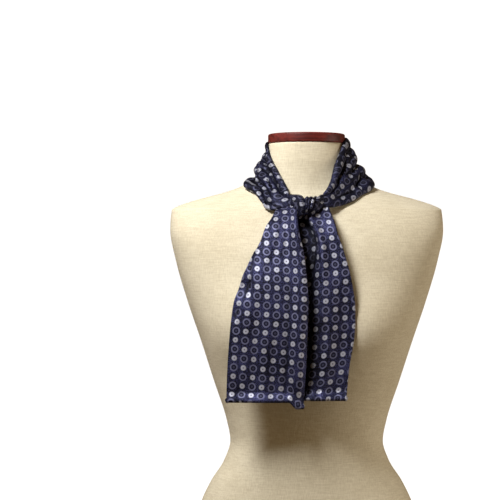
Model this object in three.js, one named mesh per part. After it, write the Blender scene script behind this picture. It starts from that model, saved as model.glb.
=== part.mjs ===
// A satin cravat tied in a half knot round the neck of a linen-covered dress form.
// Millimetres, +Z up. The form faces -Y and stands on its flat underside at z = 0, with its
// neck on the Z axis. Left and right are as seen from the front.
import * as THREE from "three";

// Driving dimensions
const CLOTH = 1.6; // the doubled satin, as one wall
const SEAM = 0.3; // gap between neighbouring pieces
const NECK_TOP = 670; // height of the linen at the top of the neck
const CAP_RADIUS = 56.5;
const CAP_HEIGHT = 14;
const CAP_ROUNDING = 2.5;
const FORM_SEGMENTS = 44;
const CAP_SEGMENTS = 32;
const CLEAR = CLOTH / 2 + SEAM; // from a cloth's middle to what it rests on
const FACET_ROOM = 0.8; // the form's flat facets bulge at most this much where it is hollow
const PUSH_STEP = 0.25; // a cloth point is moved out of the form in steps of this size
const PUSH_LIMIT = 200; // and in no more steps than this

// Rows of a table, with the names of their columns.
function table(names, rows) {
  return rows.map((row) => Object.fromEntries(names.split(" ").map((name, k) => [name, row[k]])));
}

// The dress form: a level section for each row, from its underside to the top of its neck.
// square is the section's exponent: 2 is an ellipse, more is boxier, less is more pointed.
const FORM = table("z halfWidth front back square", [
  [0, 169, 105, 121, 2.2],
  [50, 176, 109, 128, 2.2],
  [100, 169, 106, 122, 2.2],
  [147, 154, 100, 108, 2.15],
  [176, 140, 95, 97, 2.1],
  [206, 121, 89, 86, 2.1],
  [235, 112, 86, 80, 2.1],
  [264, 117, 89, 83, 2.1],
  [323, 136, 98, 94, 2.2],
  [382, 155, 106, 103, 2.3],
  [441, 175, 110, 108, 2.4],
  [500, 192, 98, 110, 2.4],
  [544, 200, 79, 104, 2.4],
  [573, 198, 65, 93, 2.2],
  [580, 186, 61, 89, 2.0],
  [588, 162, 58, 84, 1.8],
  [602, 111, 54, 76, 1.65],
  [614, 84, 53, 69, 1.75],
  [628, 66, 53, 62, 1.9],
  [645, 59, 54, 57, 2],
  [NECK_TOP, 55, 54.5, 54.5, 2],
]);
const FORM_LEVELS = [
  0, 25, 50, 75, 100, 124, 147, 162, 176, 191, 206, 220, 235, 250, 264, 293, 323, 352, 382, 411, 441, 470,
  500, 522, 544, 560, 573, 580, 588, 595, 602, 614, 628, 645, NECK_TOP,
];
const BUST = { apart: 86, z: 428, rise: 15, width: 46, height: 54 };

// The neck band, from the left of the knot round the back to the right of it. turn is the angle of
// its top edge, in degrees from the front towards the left; the lower edge has its own angle.
// stand is how far an edge stands off the form, puff how far the cloth swells between its edges, roll
// and lip how much further its top and lower parts stand out before they turn in, and fold the share
// of each fold's depth.
const BAND = table("turn topZ edgeTurn edgeZ stand edgeStand puff roll lip fold", [
  [15, 584, 10, 575, 6, 7, 0, 0, 0, 0.1],
  [21, 591, 26, 575, 6, 7, 1, 2, 0, 0.3],
  [25, 600, 35, 571, 4, 6, 2, 3, 0, 0.6],
  [31, 609, 41, 573, 2, 4, 3, 4, 0, 0.8],
  [39, 620, 49, 583, 1, 2, 3, 4, 0, 0.9],
  [51, 635, 59, 594, 0, 0, 4, 4, 2, 1],
  [66, 652, 71, 602, 0, 2, 3.5, 2, 4, 1],
  [84, 669, 84, 611, 0.8, -4, 3, 0, 4, 1],
  [104, 674, 104, 615, 2.2, -3, 3, 0, 2, 1],
  [140, 677, 140, 605, 3, 0, 4, 1, 2, 0.9],
  [180, 678, 180, 598, 3, 0, 4, 1, 1, 0.8],
  [220, 680, 220, 605, 3, 0, 4, 1, 2, 0.9],
  [256, 680, 256, 611, 2.6, -2, 3, 0, 2, 1],
  [276, 677, 279, 605, 2.4, 0, 2.5, 0, 3, 1],
  [293, 670, 288, 600, 0.8, 1, 3, 1, 3, 1],
  [309, 652, 300, 593, 0, 0, 3, 3, 2, 0.9],
  [320, 637, 312, 583, 1, 1, 3, 3, 1, 0.7],
  [330, 614, 325, 575, 2, 3, 2, 3, 0, 0.6],
  [337, 599, 336, 572, 5, 6, 1, 2, 0, 0.4],
  [345, 588, 350, 574, 6, 7, 0, 0, 0, 0.2],
]);
// Lengthwise folds of the band. at is the share of the width from the top edge, where the fold
// starts and where it ends; a fold with a positive depth is a trough.
const BAND_FOLDS = [
  { from: 12, to: 150, at: 0.31, atEnd: 0.12, depth: 8, width: 0.09 },
  { from: 26, to: 118, at: 0.6, atEnd: 0.91, depth: 9, width: 0.08 },
  { from: 96, to: 205, at: 0.86, atEnd: 0.74, depth: 6, width: 0.08 },
  { from: 96, to: 336, at: 0.44, atEnd: 0.52, depth: 8, width: 0.08 },
  { from: 205, to: 345, at: 0.7, atEnd: 0.77, depth: 3, width: 0.07 },
  { from: 190, to: 318, at: 0.22, atEnd: 0.16, depth: 2.5, width: 0.08 },
];
const BAND_PARTS = [
  { name: "band_left", from: 15, to: 112, steps: 21 },
  { name: "band_back", from: 112, to: 248, steps: 18 },
  { name: "band_right", from: 248, to: 345, steps: 21 },
];
const BAND_COLUMNS = 21;
const TOP_TURN = 0.13; // the share of the band's width over which its top edge turns in to the neck
const EDGE_TURN = 0.1;
const ROLL_REACH = { from: 0.3, to: 0.16 }; // where the top roll ends and where it is full
const LIP_REACH = { from: 0.78, to: 0.88 };
const BAND_SEAM = 0.4; // degrees between neighbouring parts, a seam's gap at the neck
const FOLD_FADE = 0.25; // share of its length over which a fold deepens at each end

// The tails: a row for each level. y is the depth of the main panel, fall how far back its outer
// edge lies and roll how far back its inner part turns. ridge is where the right tail's panel ends,
// before its inner part turns back behind the left tail.
const LEFT_TAIL = table("z left right y fall roll", [
  [578, -45.5, -21, -74.6, 2, 0],
  [573, -47.5, -20.6, -83, 4, 0.5],
  [566, -50.5, -20, -90, 7, 1],
  [549, -59, -17, -102, 8, 2],
  [532, -64.3, -13.5, -108.5, 8, 2.5],
  [519, -66.6, -10.5, -112, 8, 3],
  [510, -73.6, -8.5, -114, 8, 3],
  [493, -80, -6.5, -118, 8, 3],
  [476, -90, -4.8, -122, 8, 3],
  [461, -97.5, -3.7, -125, 8, 3],
  [442, -105.5, -2.5, -128, 8, 3.5],
  [415, -108.5, -3.4, -130, 8, 4],
  [388, -111, -4.2, -131, 8, 5],
  [340, -114, -6.7, -131, 6, 6],
  [304, -115, -9, -131, 6, 8],
]);
const RIGHT_TAIL = table("z left right y fall roll ridge", [
  [578, -9, 27, -76, 3, 3, 2],
  [559, -21, 35.7, -92, 8, 18, 1],
  [547, -23, 39.7, -98.5, 9, 20, 4],
  [534, -24, 43, -103, 9, 21, 10],
  [521, -24.5, 48, -106.5, 9, 21, 15],
  [509, -25, 54, -109.5, 9, 21, 14.5],
  [486, -27, 58.3, -114.5, 7, 21, 12],
  [461, -29, 63, -119.5, 6, 20, 10.5],
  [438, -31, 65.3, -123, 5, 19, 10],
  [415, -32, 64, -125, 5, 18, 9.5],
  [390, -32, 61.6, -125.5, 5, 17, 8],
  [351, -32, 55, -125.5, 5, 17, 4],
  [306, -31, 50.6, -125.5, 6, 17, -3],
]);
// Folds that run down a tail. at is the share of the width from the left at the fold's top and
// bottom; a positive depth is a trough and a negative one a ridge.
const LEFT_FOLDS = [
  { top: 630, bottom: 290, at: 0.95, atEnd: 0.94, depth: -9, width: 0.18 },
  { top: 600, bottom: 455, at: 0.5, atEnd: 0.34, depth: 1.4, width: 0.09 },
  { top: 470, bottom: 280, at: 0.36, atEnd: 0.3, depth: 3, width: 0.1 },
  { top: 500, bottom: 280, at: 0.74, atEnd: 0.76, depth: 2, width: 0.06 },
];
// Tucks of the left tail: the cloth to the left of the line lies further back.
const LEFT_TUCKS = [
  { top: 526, bottom: 440, at: -0.03, atEnd: 0.23, depth: 4.5, width: 0.06 },
  { top: 482, bottom: 408, at: 0.17, atEnd: 0.03, depth: 4, width: 0.06 },
];
const RIGHT_FOLDS = [
  { top: 600, bottom: 470, at: 0.76, atEnd: 0.8, depth: 1.6, width: 0.08 },
  { top: 440, bottom: 280, at: 0.58, atEnd: 0.5, depth: 2, width: 0.06 },
  { top: 470, bottom: 280, at: 0.84, atEnd: 0.8, depth: 2.2, width: 0.08 },
];
// How a tail's edges turn back, as shares of its width from the left.
const LEFT_ROLL = { from: 0.92, to: 1.02 };
const RIDGE = { rise: 2.5, width: 5, wall: 5 };
const LEFT_FALL = { from: 0.4, to: -0.1 };
const RIGHT_FALL = { from: 0.7, to: 1.1 };
const TAIL_LEAD = 1.5 * CLOTH + 2 * SEAM; // the left tail's middle lies this far before the right one's
const LEAD_FADE = { from: -0.3, to: -0.06, room: 20 }; // where the right tail ends behind the left one
const HEM = { drop: 9, from: 0.84, to: 0.95, power: 6 }; // the left tail's curled corner hangs lower
const LEFT_TOP = 6; // the left tail's top edge slants down to the left by this much
const TAIL_STEPS = 26;
const TAIL_COLUMNS = 25;

// The knot: pleated cloth that comes over the crossing from behind and tapers down to the right tail.
// y and z are the line of its middle, and crown is how far its side edges fall back from there.
const KNOT = table("along left right y z crown", [
  [0, -17, 16, -73, 586, 1],
  [0.14, -24, 22, -80, 593, 5],
  [0.32, -26, 23, -96, 592, 14],
  [0.5, -25, 22, -106, 582, 20],
  [0.66, -17, 20, -106, 574, 16],
  [0.82, -9, 17, -102, 567, 9],
  [1, -4, 12, -95.7, 561, 3],
]);
const KNOT_FOLDS = [
  { from: -0.5, to: 1.3, at: 0.46, atEnd: 0.3, depth: 5.5, width: 0.06 },
  { from: -0.5, to: 1.2, at: 0.75, atEnd: 0.55, depth: 4, width: 0.05 },
  { from: -0.5, to: 1.2, at: 0.89, atEnd: 0.72, depth: 3.5, width: 0.05 },
];
const KNOT_STEPS = 17;
const KNOT_COLUMNS = 26;

// Cubic through one column of a table whose rows are in order of key, with no overshoot.
function column(rows, key, name, at) {
  const last = rows.length - 1;
  const rising = rows[last][key] > rows[0][key];
  let i = 0;
  while (i < last - 1 && (rising ? at > rows[i + 1][key] : at < rows[i + 1][key])) i += 1;
  const slope = (k) => (rows[k + 1][name] - rows[k][name]) / (rows[k + 1][key] - rows[k][key]);
  const tangent = (k) => {
    if (k === 0) return slope(0);
    if (k === last) return slope(last - 1);
    const product = slope(k - 1) * slope(k);
    return product <= 0 ? 0 : (2 * product) / (slope(k - 1) + slope(k));
  };
  const span = rows[i + 1][key] - rows[i][key];
  const t = THREE.MathUtils.clamp((at - rows[i][key]) / span, 0, 1);
  const ease = t * t * (3 - 2 * t);
  return (
    rows[i][name] * (1 - ease) +
    rows[i + 1][name] * ease +
    span * (tangent(i) * t * (1 - t) ** 2 - tangent(i + 1) * t * t * (1 - t))
  );
}

// All columns of a table at one place.
function rowAt(rows, key, at) {
  const row = {};
  for (const name of Object.keys(rows[0])) row[name] = column(rows, key, name, at);
  return row;
}

const smooth = (value, low, high) => THREE.MathUtils.smoothstep(value, low, high);
const bell = (value, middle, width) => Math.exp(-(((value - middle) / width) ** 2));
const share = (i, count) => i / (count - 1);

// A step: all of the depth before the middle, none after it.
const ledge = (value, middle, width) => 1 - smooth((value - middle) / width, 0, 1);

// Depth of the bust beyond the plain section, at a point of the front.
function bustAt(x, z) {
  const sides = bell(x, BUST.apart, BUST.width) + bell(x, -BUST.apart, BUST.width);
  return BUST.rise * sides * bell(z, BUST.z, BUST.height);
}

// A point of the form's surface at a section angle and a level.
function formPoint(angle, z) {
  const section = rowAt(FORM, "z", z);
  const bend = (value) => Math.sign(value) * Math.abs(value) ** (2 / section.square);
  const x = section.halfWidth * bend(Math.cos(angle));
  const forward = bend(Math.sin(angle));
  const depth = forward > 0 ? section.front : section.back;
  const bust = forward > 0 ? bustAt(x, z) * smooth(forward, 0, 0.6) : 0;
  return new THREE.Vector3(x, -depth * forward - bust, z);
}

// Whether a point lies inside the form grown by gap.
function insideForm(point, gap) {
  const section = rowAt(FORM, "z", Math.min(point.z - gap, NECK_TOP));
  const width = section.halfWidth + gap;
  let depth = (point.y < 0 ? section.front : section.back) + gap;
  if (point.y < 0) depth += bustAt(point.x, point.z);
  return (Math.abs(point.x) / width) ** section.square + (Math.abs(point.y) / depth) ** section.square < 1;
}

// Moves a cloth point along a direction until it is clear of the form.
function clearOfForm(point, direction) {
  for (let i = 0; i < PUSH_LIMIT && insideForm(point, CLEAR + FACET_ROOM); i += 1)
    point.addScaledVector(direction, PUSH_STEP);
  return point;
}

// The place on the form at an angle from the front towards the left, and the way out from there.
function aroundForm(turn, z, stand) {
  const angle = THREE.MathUtils.degToRad(turn);
  const out = new THREE.Vector3(-Math.sin(angle), -Math.cos(angle), 0);
  const section = rowAt(FORM, "z", Math.min(z, NECK_TOP));
  const depth = out.y < 0 ? section.front : section.back;
  const power = section.square;
  const nearness = (Math.abs(out.x) / section.halfWidth) ** power + (Math.abs(out.y) / depth) ** power;
  return out.multiplyScalar(nearness ** (-1 / power) + stand).setZ(z);
}

// Closed geometry of faces given as lists of corners, each a polygon with three or four points.
function closedGeometry(points, faces) {
  const geometry = new THREE.BufferGeometry();
  const coordinates = points.flatMap((point) => point.toArray());
  const triangles = faces.flatMap(([a, b, c, d]) => (d === undefined ? [a, b, c] : [a, b, c, a, c, d]));
  geometry.setAttribute("position", new THREE.Float32BufferAttribute(coordinates, 3));
  geometry.setIndex(triangles);
  geometry.computeVertexNormals();
  return geometry;
}

// Normal of a grid of points at one place, from its neighbours along and across.
function gridNormal(grid, i, j) {
  const rows = grid.length - 1;
  const columns = grid[0].length - 1;
  const along = grid[Math.min(i + 1, rows)][j].clone().sub(grid[Math.max(i - 1, 0)][j]);
  const across = grid[i][Math.min(j + 1, columns)].clone().sub(grid[i][Math.max(j - 1, 0)]);
  return along.cross(across).normalize();
}

// A closed wall of even thickness about a grid of middle points, rows along the cloth.
function wall(grid, thickness = CLOTH) {
  const rows = grid.length;
  const columns = grid[0].length;
  const points = [];
  for (const offset of [thickness / 2, -thickness / 2])
    for (let i = 0; i < rows; i += 1)
      for (let j = 0; j < columns; j += 1)
        points.push(gridNormal(grid, i, j).multiplyScalar(offset).add(grid[i][j]));
  const front = (i, j) => i * columns + j;
  const back = (i, j) => rows * columns + front(i, j);
  const [end, side] = [rows - 1, columns - 1];
  const faces = [];
  for (let i = 0; i < end; i += 1)
    for (let j = 0; j < side; j += 1) {
      faces.push([front(i, j), front(i + 1, j), front(i + 1, j + 1), front(i, j + 1)]);
      faces.push([back(i, j), back(i, j + 1), back(i + 1, j + 1), back(i + 1, j)]);
    }
  for (let i = 0; i < end; i += 1) {
    faces.push([front(i, 0), back(i, 0), back(i + 1, 0), front(i + 1, 0)]);
    faces.push([front(i, side), front(i + 1, side), back(i + 1, side), back(i, side)]);
  }
  for (let j = 0; j < side; j += 1) {
    faces.push([front(0, j), front(0, j + 1), back(0, j + 1), back(0, j)]);
    faces.push([front(end, j), back(end, j), back(end, j + 1), front(end, j + 1)]);
  }
  return closedGeometry(points, faces);
}

// The form's body: its level rings, closed by a flat underside and a flat top.
function formBody() {
  const points = [];
  const faces = [];
  for (const z of FORM_LEVELS)
    for (let k = 0; k < FORM_SEGMENTS; k += 1) points.push(formPoint((2 * Math.PI * k) / FORM_SEGMENTS, z));
  const at = (level, k) => level * FORM_SEGMENTS + (k % FORM_SEGMENTS);
  const top = FORM_LEVELS.length - 1;
  const underside = points.push(new THREE.Vector3(0, 0, FORM_LEVELS[0])) - 1;
  const crown = points.push(new THREE.Vector3(0, 0, NECK_TOP)) - 1;
  for (let k = 0; k < FORM_SEGMENTS; k += 1) {
    for (let level = 0; level < top; level += 1)
      faces.push([at(level, k), at(level + 1, k), at(level + 1, k + 1), at(level, k + 1)]);
    faces.push([underside, at(0, k), at(0, k + 1)]);
    faces.push([crown, at(top, k + 1), at(top, k)]);
  }
  return closedGeometry(points, faces);
}

// The turned wooden cap on the neck.
function neckCap() {
  const profile = new THREE.Path();
  profile.moveTo(0, 0);
  profile.lineTo(CAP_RADIUS - CAP_ROUNDING, 0);
  profile.absarc(CAP_RADIUS - CAP_ROUNDING, CAP_ROUNDING, CAP_ROUNDING, -Math.PI / 2, 0);
  profile.absarc(CAP_RADIUS - CAP_ROUNDING, CAP_HEIGHT - CAP_ROUNDING, CAP_ROUNDING, 0, Math.PI / 2);
  profile.lineTo(0, CAP_HEIGHT);
  return new THREE.LatheGeometry(profile.getPoints(2), CAP_SEGMENTS);
}

// The lengthwise folds of a piece: how deep the cloth lies at a place along and across it.
function foldDepth(folds, at, across, startName, endName, shape = bell) {
  let depth = 0;
  for (const fold of folds) {
    const progress = (at - fold[startName]) / (fold[endName] - fold[startName]);
    if (progress <= 0 || progress >= 1) continue;
    const fade = smooth(progress, 0, FOLD_FADE) * smooth(1 - progress, 0, FOLD_FADE);
    const middle = THREE.MathUtils.lerp(fold.at, fold.atEnd, progress);
    depth += fold.depth * fade * shape(across, middle, fold.width);
  }
  return depth;
}

// How far a place across the cloth has gone from the start of a turn to its end, eased.
const turned = (across, { from, to }) => smooth((across - from) / (to - from), 0, 1);

// A quarter circle from 0 at an edge to 1 where the edge's turn ends.
const roundedIn = (place) => Math.sqrt(1 - (1 - Math.min(place, 1)) ** 2);

// One cross line of the neck band, from its top edge at the neck to its lower edge.
function bandEdges(turn) {
  const row = rowAt(BAND, "turn", turn);
  const top = aroundForm(turn, row.topZ, row.stand + CLEAR);
  const edge = aroundForm(row.edgeTurn, row.edgeZ, row.edgeStand + CLEAR);
  return { top, edge, row };
}

function bandSection(turn) {
  const { top, edge, row } = bandEdges(turn);
  const next = bandEdges(turn + 1);
  const before = bandEdges(turn - 1);
  const points = [];
  for (let j = 0; j < BAND_COLUMNS; j += 1) {
    const across = share(j, BAND_COLUMNS);
    const ahead = next.top.clone().lerp(next.edge, across);
    const along = ahead.sub(before.top.clone().lerp(before.edge, across));
    const out = along.cross(edge.clone().sub(top)).normalize();
    const lower = (row.puff + row.lip * turned(across, LIP_REACH)) * roundedIn((1 - across) / EDGE_TURN);
    const upper = row.roll * turned(across, ROLL_REACH);
    const depth = row.fold * foldDepth(BAND_FOLDS, turn, across, "from", "to");
    const swell = (lower + upper - depth) * roundedIn(across / TOP_TURN);
    const point = top.clone().lerp(edge, across).addScaledVector(out, swell);
    points.push(clearOfForm(point, out));
  }
  return points;
}

function bandPart({ from, to, steps }) {
  const grid = [];
  const [start, stop] = [from + BAND_SEAM / 2, to - BAND_SEAM / 2];
  for (let i = 0; i < steps; i += 1)
    grid.push(bandSection(THREE.MathUtils.lerp(start, stop, share(i, steps))));
  return wall(grid);
}

// A tail's middle point at a level and a share of its width.
function tailPoint(rows, folds, z, across, rollRange, fallRange) {
  const row = rowAt(rows, "z", z);
  const x = THREE.MathUtils.lerp(row.left, row.right, across);
  const back = row.roll * turned(across, rollRange) + row.fall * turned(across, fallRange);
  const y = row.y + back + foldDepth(folds, z, across, "top", "bottom");
  return new THREE.Vector3(x, y, z);
}

const FORWARD = new THREE.Vector3(0, -1, 0);

// The right tail's inner part turns back to the form from a soft ridge.
function rightTailPoint(z, across) {
  const row = rowAt(RIGHT_TAIL, "z", z);
  const width = row.right - row.left;
  const from = (row.ridge - row.left) / width;
  const wallRange = { from, to: from - RIDGE.wall / width };
  const point = tailPoint(RIGHT_TAIL, RIGHT_FOLDS, z, across, wallRange, RIGHT_FALL);
  point.y -= RIDGE.rise * bell(point.x, row.ridge + RIDGE.width / 2, RIDGE.width);
  return clearOfForm(point, FORWARD);
}

// The left tail hangs in front of the right one where they cross.
function leftTailPoint(z, across) {
  const point = tailPoint(LEFT_TAIL, LEFT_FOLDS, z, across, LEFT_ROLL, LEFT_FALL);
  point.y += foldDepth(LEFT_TUCKS, z, across, "top", "bottom", ledge);
  clearOfForm(point, FORWARD);
  const row = rowAt(RIGHT_TAIL, "z", z);
  const place = (point.x - row.left) / (row.right - row.left);
  const behind = rightTailPoint(z, Math.max(place, 0)).y;
  const room = LEAD_FADE.room * (1 - turned(place, LEAD_FADE));
  point.y = Math.min(point.y, behind - TAIL_LEAD + room);
  return point;
}

const leftHem = (across) => HEM.drop * turned(across, HEM);
const rightHem = () => 0;

function tail(rows, pointAt, hemDrop, slant) {
  const grid = [];
  const [first, last] = [rows[0].z, rows[rows.length - 1].z];
  for (let i = 0; i < TAIL_STEPS; i += 1) {
    const down = share(i, TAIL_STEPS);
    const z = THREE.MathUtils.lerp(first, last, down);
    const line = [];
    for (let j = 0; j < TAIL_COLUMNS; j += 1) {
      const across = share(j, TAIL_COLUMNS);
      const point = pointAt(z, across);
      point.z -= hemDrop(across) * down ** HEM.power;
      point.z -= slant * (1 - across) * (1 - down) ** HEM.power;
      line.push(point);
    }
    grid.push(line);
  }
  return wall(grid);
}

function knot() {
  const grid = [];
  for (let i = 0; i < KNOT_STEPS; i += 1) {
    const row = rowAt(KNOT, "along", share(i, KNOT_STEPS));
    const line = [];
    for (let j = 0; j < KNOT_COLUMNS; j += 1) {
      const side = 2 * share(j, KNOT_COLUMNS) - 1;
      const x = THREE.MathUtils.lerp(row.left, row.right, (side + 1) / 2);
      line.push(new THREE.Vector3(x, row.y + row.crown * side ** 2, row.z));
    }
    grid.push(line);
  }
  return wall(folded(grid, KNOT_FOLDS, "from", "to"));
}

// A grid whose points are sunk along its normals by the folds that cross them.
function folded(grid, folds, startName, endName) {
  return grid.map((line, i) =>
    line.map((point, j) => {
      const depth = foldDepth(folds, share(i, grid.length), share(j, line.length), startName, endName);
      return point.clone().addScaledVector(gridNormal(grid, i, j), -depth);
    }),
  );
}

const LINEN = new THREE.MeshStandardMaterial({ color: 0xe4d6b4, roughness: 0.85, metalness: 0 });
const WOOD = new THREE.MeshStandardMaterial({ color: 0x5e1f1c, roughness: 0.35, metalness: 0 });
const SATIN = new THREE.MeshStandardMaterial({ color: 0x23254a, roughness: 0.45, metalness: 0 });

const model = new THREE.Group();

function place(name, geometry, material) {
  const mesh = new THREE.Mesh(geometry, material);
  mesh.name = name;
  model.add(mesh);
  return mesh;
}

place("form_body", formBody(), LINEN);
const cap = place("neck_cap", neckCap(), WOOD);
cap.rotation.x = Math.PI / 2;
cap.position.z = NECK_TOP + SEAM;
for (const part of BAND_PARTS) place(part.name, bandPart(part), SATIN);
place("knot", knot(), SATIN);
place("tail_left", tail(LEFT_TAIL, leftTailPoint, leftHem, LEFT_TOP), SATIN);
place("tail_right", tail(RIGHT_TAIL, rightTailPoint, rightHem, 0), SATIN);

export default model;
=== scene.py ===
# A satin cravat tied in a half knot round the neck of a linen-covered dress form.
# +Z is up and the form faces -Y. Left and right are as seen from the front. The tables are in
# millimetres, and MM turns them into the frame's metres.
import math

import bpy
import numpy as np
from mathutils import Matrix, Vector


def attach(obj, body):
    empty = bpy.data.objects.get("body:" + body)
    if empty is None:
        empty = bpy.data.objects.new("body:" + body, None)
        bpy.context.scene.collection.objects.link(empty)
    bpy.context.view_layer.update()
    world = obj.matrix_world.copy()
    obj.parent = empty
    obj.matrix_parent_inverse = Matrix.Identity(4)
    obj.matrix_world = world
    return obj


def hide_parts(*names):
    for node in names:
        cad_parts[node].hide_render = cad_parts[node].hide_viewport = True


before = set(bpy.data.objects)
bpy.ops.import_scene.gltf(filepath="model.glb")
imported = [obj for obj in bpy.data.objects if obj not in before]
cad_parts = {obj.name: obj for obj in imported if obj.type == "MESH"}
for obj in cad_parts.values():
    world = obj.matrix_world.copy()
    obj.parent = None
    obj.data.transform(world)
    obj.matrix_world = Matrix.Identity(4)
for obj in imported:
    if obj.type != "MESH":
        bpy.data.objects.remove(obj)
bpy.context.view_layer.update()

MM = 0.001

# Driving dimensions, in millimetres
CLOTH = 1.2  # the doubled satin
CLOTH_GAP = 0.5  # between the cloth and what it rests on
NECK_TOP = 670
CAP_RADIUS = 56.5
CAP_HEIGHT = 14
CAP_ROUNDING = 2.5
SEAM = 0.3


class Table:
    """Rows of named columns, read between the rows by a cubic that doesn't overshoot."""

    def __init__(self, names, rows):
        data = np.array(rows, float)
        data = data[np.argsort(data[:, 0])]
        self.names = names.split()
        self.keys = data[:, 0]
        self.values = data
        slopes = np.diff(data, axis=0) / np.diff(self.keys)[:, None]
        product = slopes[:-1] * slopes[1:]
        total = np.where(product > 0, slopes[:-1] + slopes[1:], 1)
        inner = np.where(product > 0, 2 * product / total, 0)
        self.tangents = np.vstack([slopes[:1], inner, slopes[-1:]])

    def at(self, place):
        """All columns at the given places, by name."""
        place = np.asarray(place, float)
        i = np.clip(np.searchsorted(self.keys, place) - 1, 0, len(self.keys) - 2)
        span = self.keys[i + 1] - self.keys[i]
        t = np.clip((place - self.keys[i]) / span, 0, 1)
        ease = t * t * (3 - 2 * t)
        row = {}
        for k, name in enumerate(self.names):
            low, high = self.values[i, k], self.values[i + 1, k]
            bend = self.tangents[i, k] * t * (1 - t) ** 2 - self.tangents[i + 1, k] * t * t * (1 - t)
            row[name] = low * (1 - ease) + high * ease + span * bend
        return row


# The dress form: a level section for each row, from its underside to the top of its neck.
# square is the section's exponent: 2 is an ellipse, more is boxier, less is more pointed.
FORM = Table(
    "z half_width front back square",
    [
        (0, 169, 102, 121, 2.2),
        (50, 176, 104, 128, 2.2),
        (100, 169, 99, 122, 2.2),
        (147, 154, 93, 108, 2.15),
        (176, 140, 90, 97, 2.1),
        (206, 121, 88.5, 86, 2.1),
        (235, 112, 88, 80, 2.1),
        (264, 117, 90, 83, 2.1),
        (323, 136, 98, 94, 2.2),
        (382, 155, 108, 103, 2.3),
        (441, 175, 106, 108, 2.4),
        (500, 192, 96, 110, 2.6),
        (544, 200, 79, 104, 2.8),
        (573, 198, 65, 93, 2.4),
        (580, 186, 61, 89, 2.0),
        (588, 162, 58, 84, 1.8),
        (602, 111, 54, 76, 1.65),
        (614, 84, 53, 69, 1.75),
        (628, 66, 53, 62, 1.9),
        (645, 59, 54, 57, 2),
        (NECK_TOP, 55, 54.5, 54.5, 2),
    ],
)
# apart is how far each side lies from the middle, and fade how far forward the bust is full.
BUST = {"apart": 92, "z": 404, "rise": 19, "width": 56, "height": 52, "fade": 0.6}

# The neck band, from the left of the knot round the back to the right of it. turn is the angle of its
# top edge, in degrees from the front towards the left; the lower edge has its own angle. stand is
# how far an edge stands off the form, puff how far the cloth swells between its edges, roll and lip how
# much further its top and lower parts stand out before they turn in, and fold the share of each
# fold's depth.
BAND = Table(
    "turn top_z edge_turn edge_z stand edge_stand puff roll lip fold",
    [
        (15, 584, 10, 575, 10, 10, 0, 0, 0, 0.1),
        (21, 591, 26, 575, 10, 10, 1, 2, 0, 0.3),
        (25, 600, 35, 571, 8, 8, 2, 3, 0, 0.6),
        (31, 609, 41, 573, 5, 5, 3, 4, 0, 0.8),
        (39, 620, 49, 583, 2, 2, 3, 4, 0, 0.9),
        (51, 635, 59, 594, 0, 0, 4, 4, 2, 1),
        (66, 652, 71, 602, 0, 2, 3.5, 2, 4, 1),
        (84, 669, 84, 611, 0.8, -4, 3, 0, 4, 1),
        (104, 674, 104, 615, 2.2, -3, 3, 0, 2, 1),
        (140, 677, 140, 605, 3, 0, 4, 1, 2, 0.9),
        (180, 678, 180, 598, 3, 0, 4, 1, 1, 0.8),
        (220, 680, 220, 605, 3, 0, 4, 1, 2, 0.9),
        (256, 680, 256, 611, 2.6, -2, 3, 0, 2, 1),
        (276, 677, 279, 605, 2.4, 0, 2.5, 0, 3, 1),
        (293, 670, 288, 600, 0.8, 1, 3, 1, 3, 1),
        (309, 652, 300, 593, 1, 0, 3, 3, 2, 0.9),
        (321, 637, 312, 584, 5, 2, 3, 3, 1, 0.8),
        (332, 614, 326, 577.5, 13, 7, 2, 3, 0, 0.7),
        (339, 602, 338, 575, 19, 14, 1, 2, 0, 0.5),
        (345, 593, 350, 577, 20, 18, 0, 0, 0, 0.2),
    ],
)
BAND_ENDS = (15, 345)
BAND_GRID = (300, 96)
BAND_RIPPLES = ((26, 6), 0.7)  # cells along and across, and their height
BAND_SEED = 3
TOP_TURN = 0.13  # the share of the band's width over which its top edge turns in to the neck
EDGE_TURN = 0.07
ROLL_REACH = (0.3, 0.16)  # where the top roll ends and where it is full
LIP_REACH = (0.78, 0.88)

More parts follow.
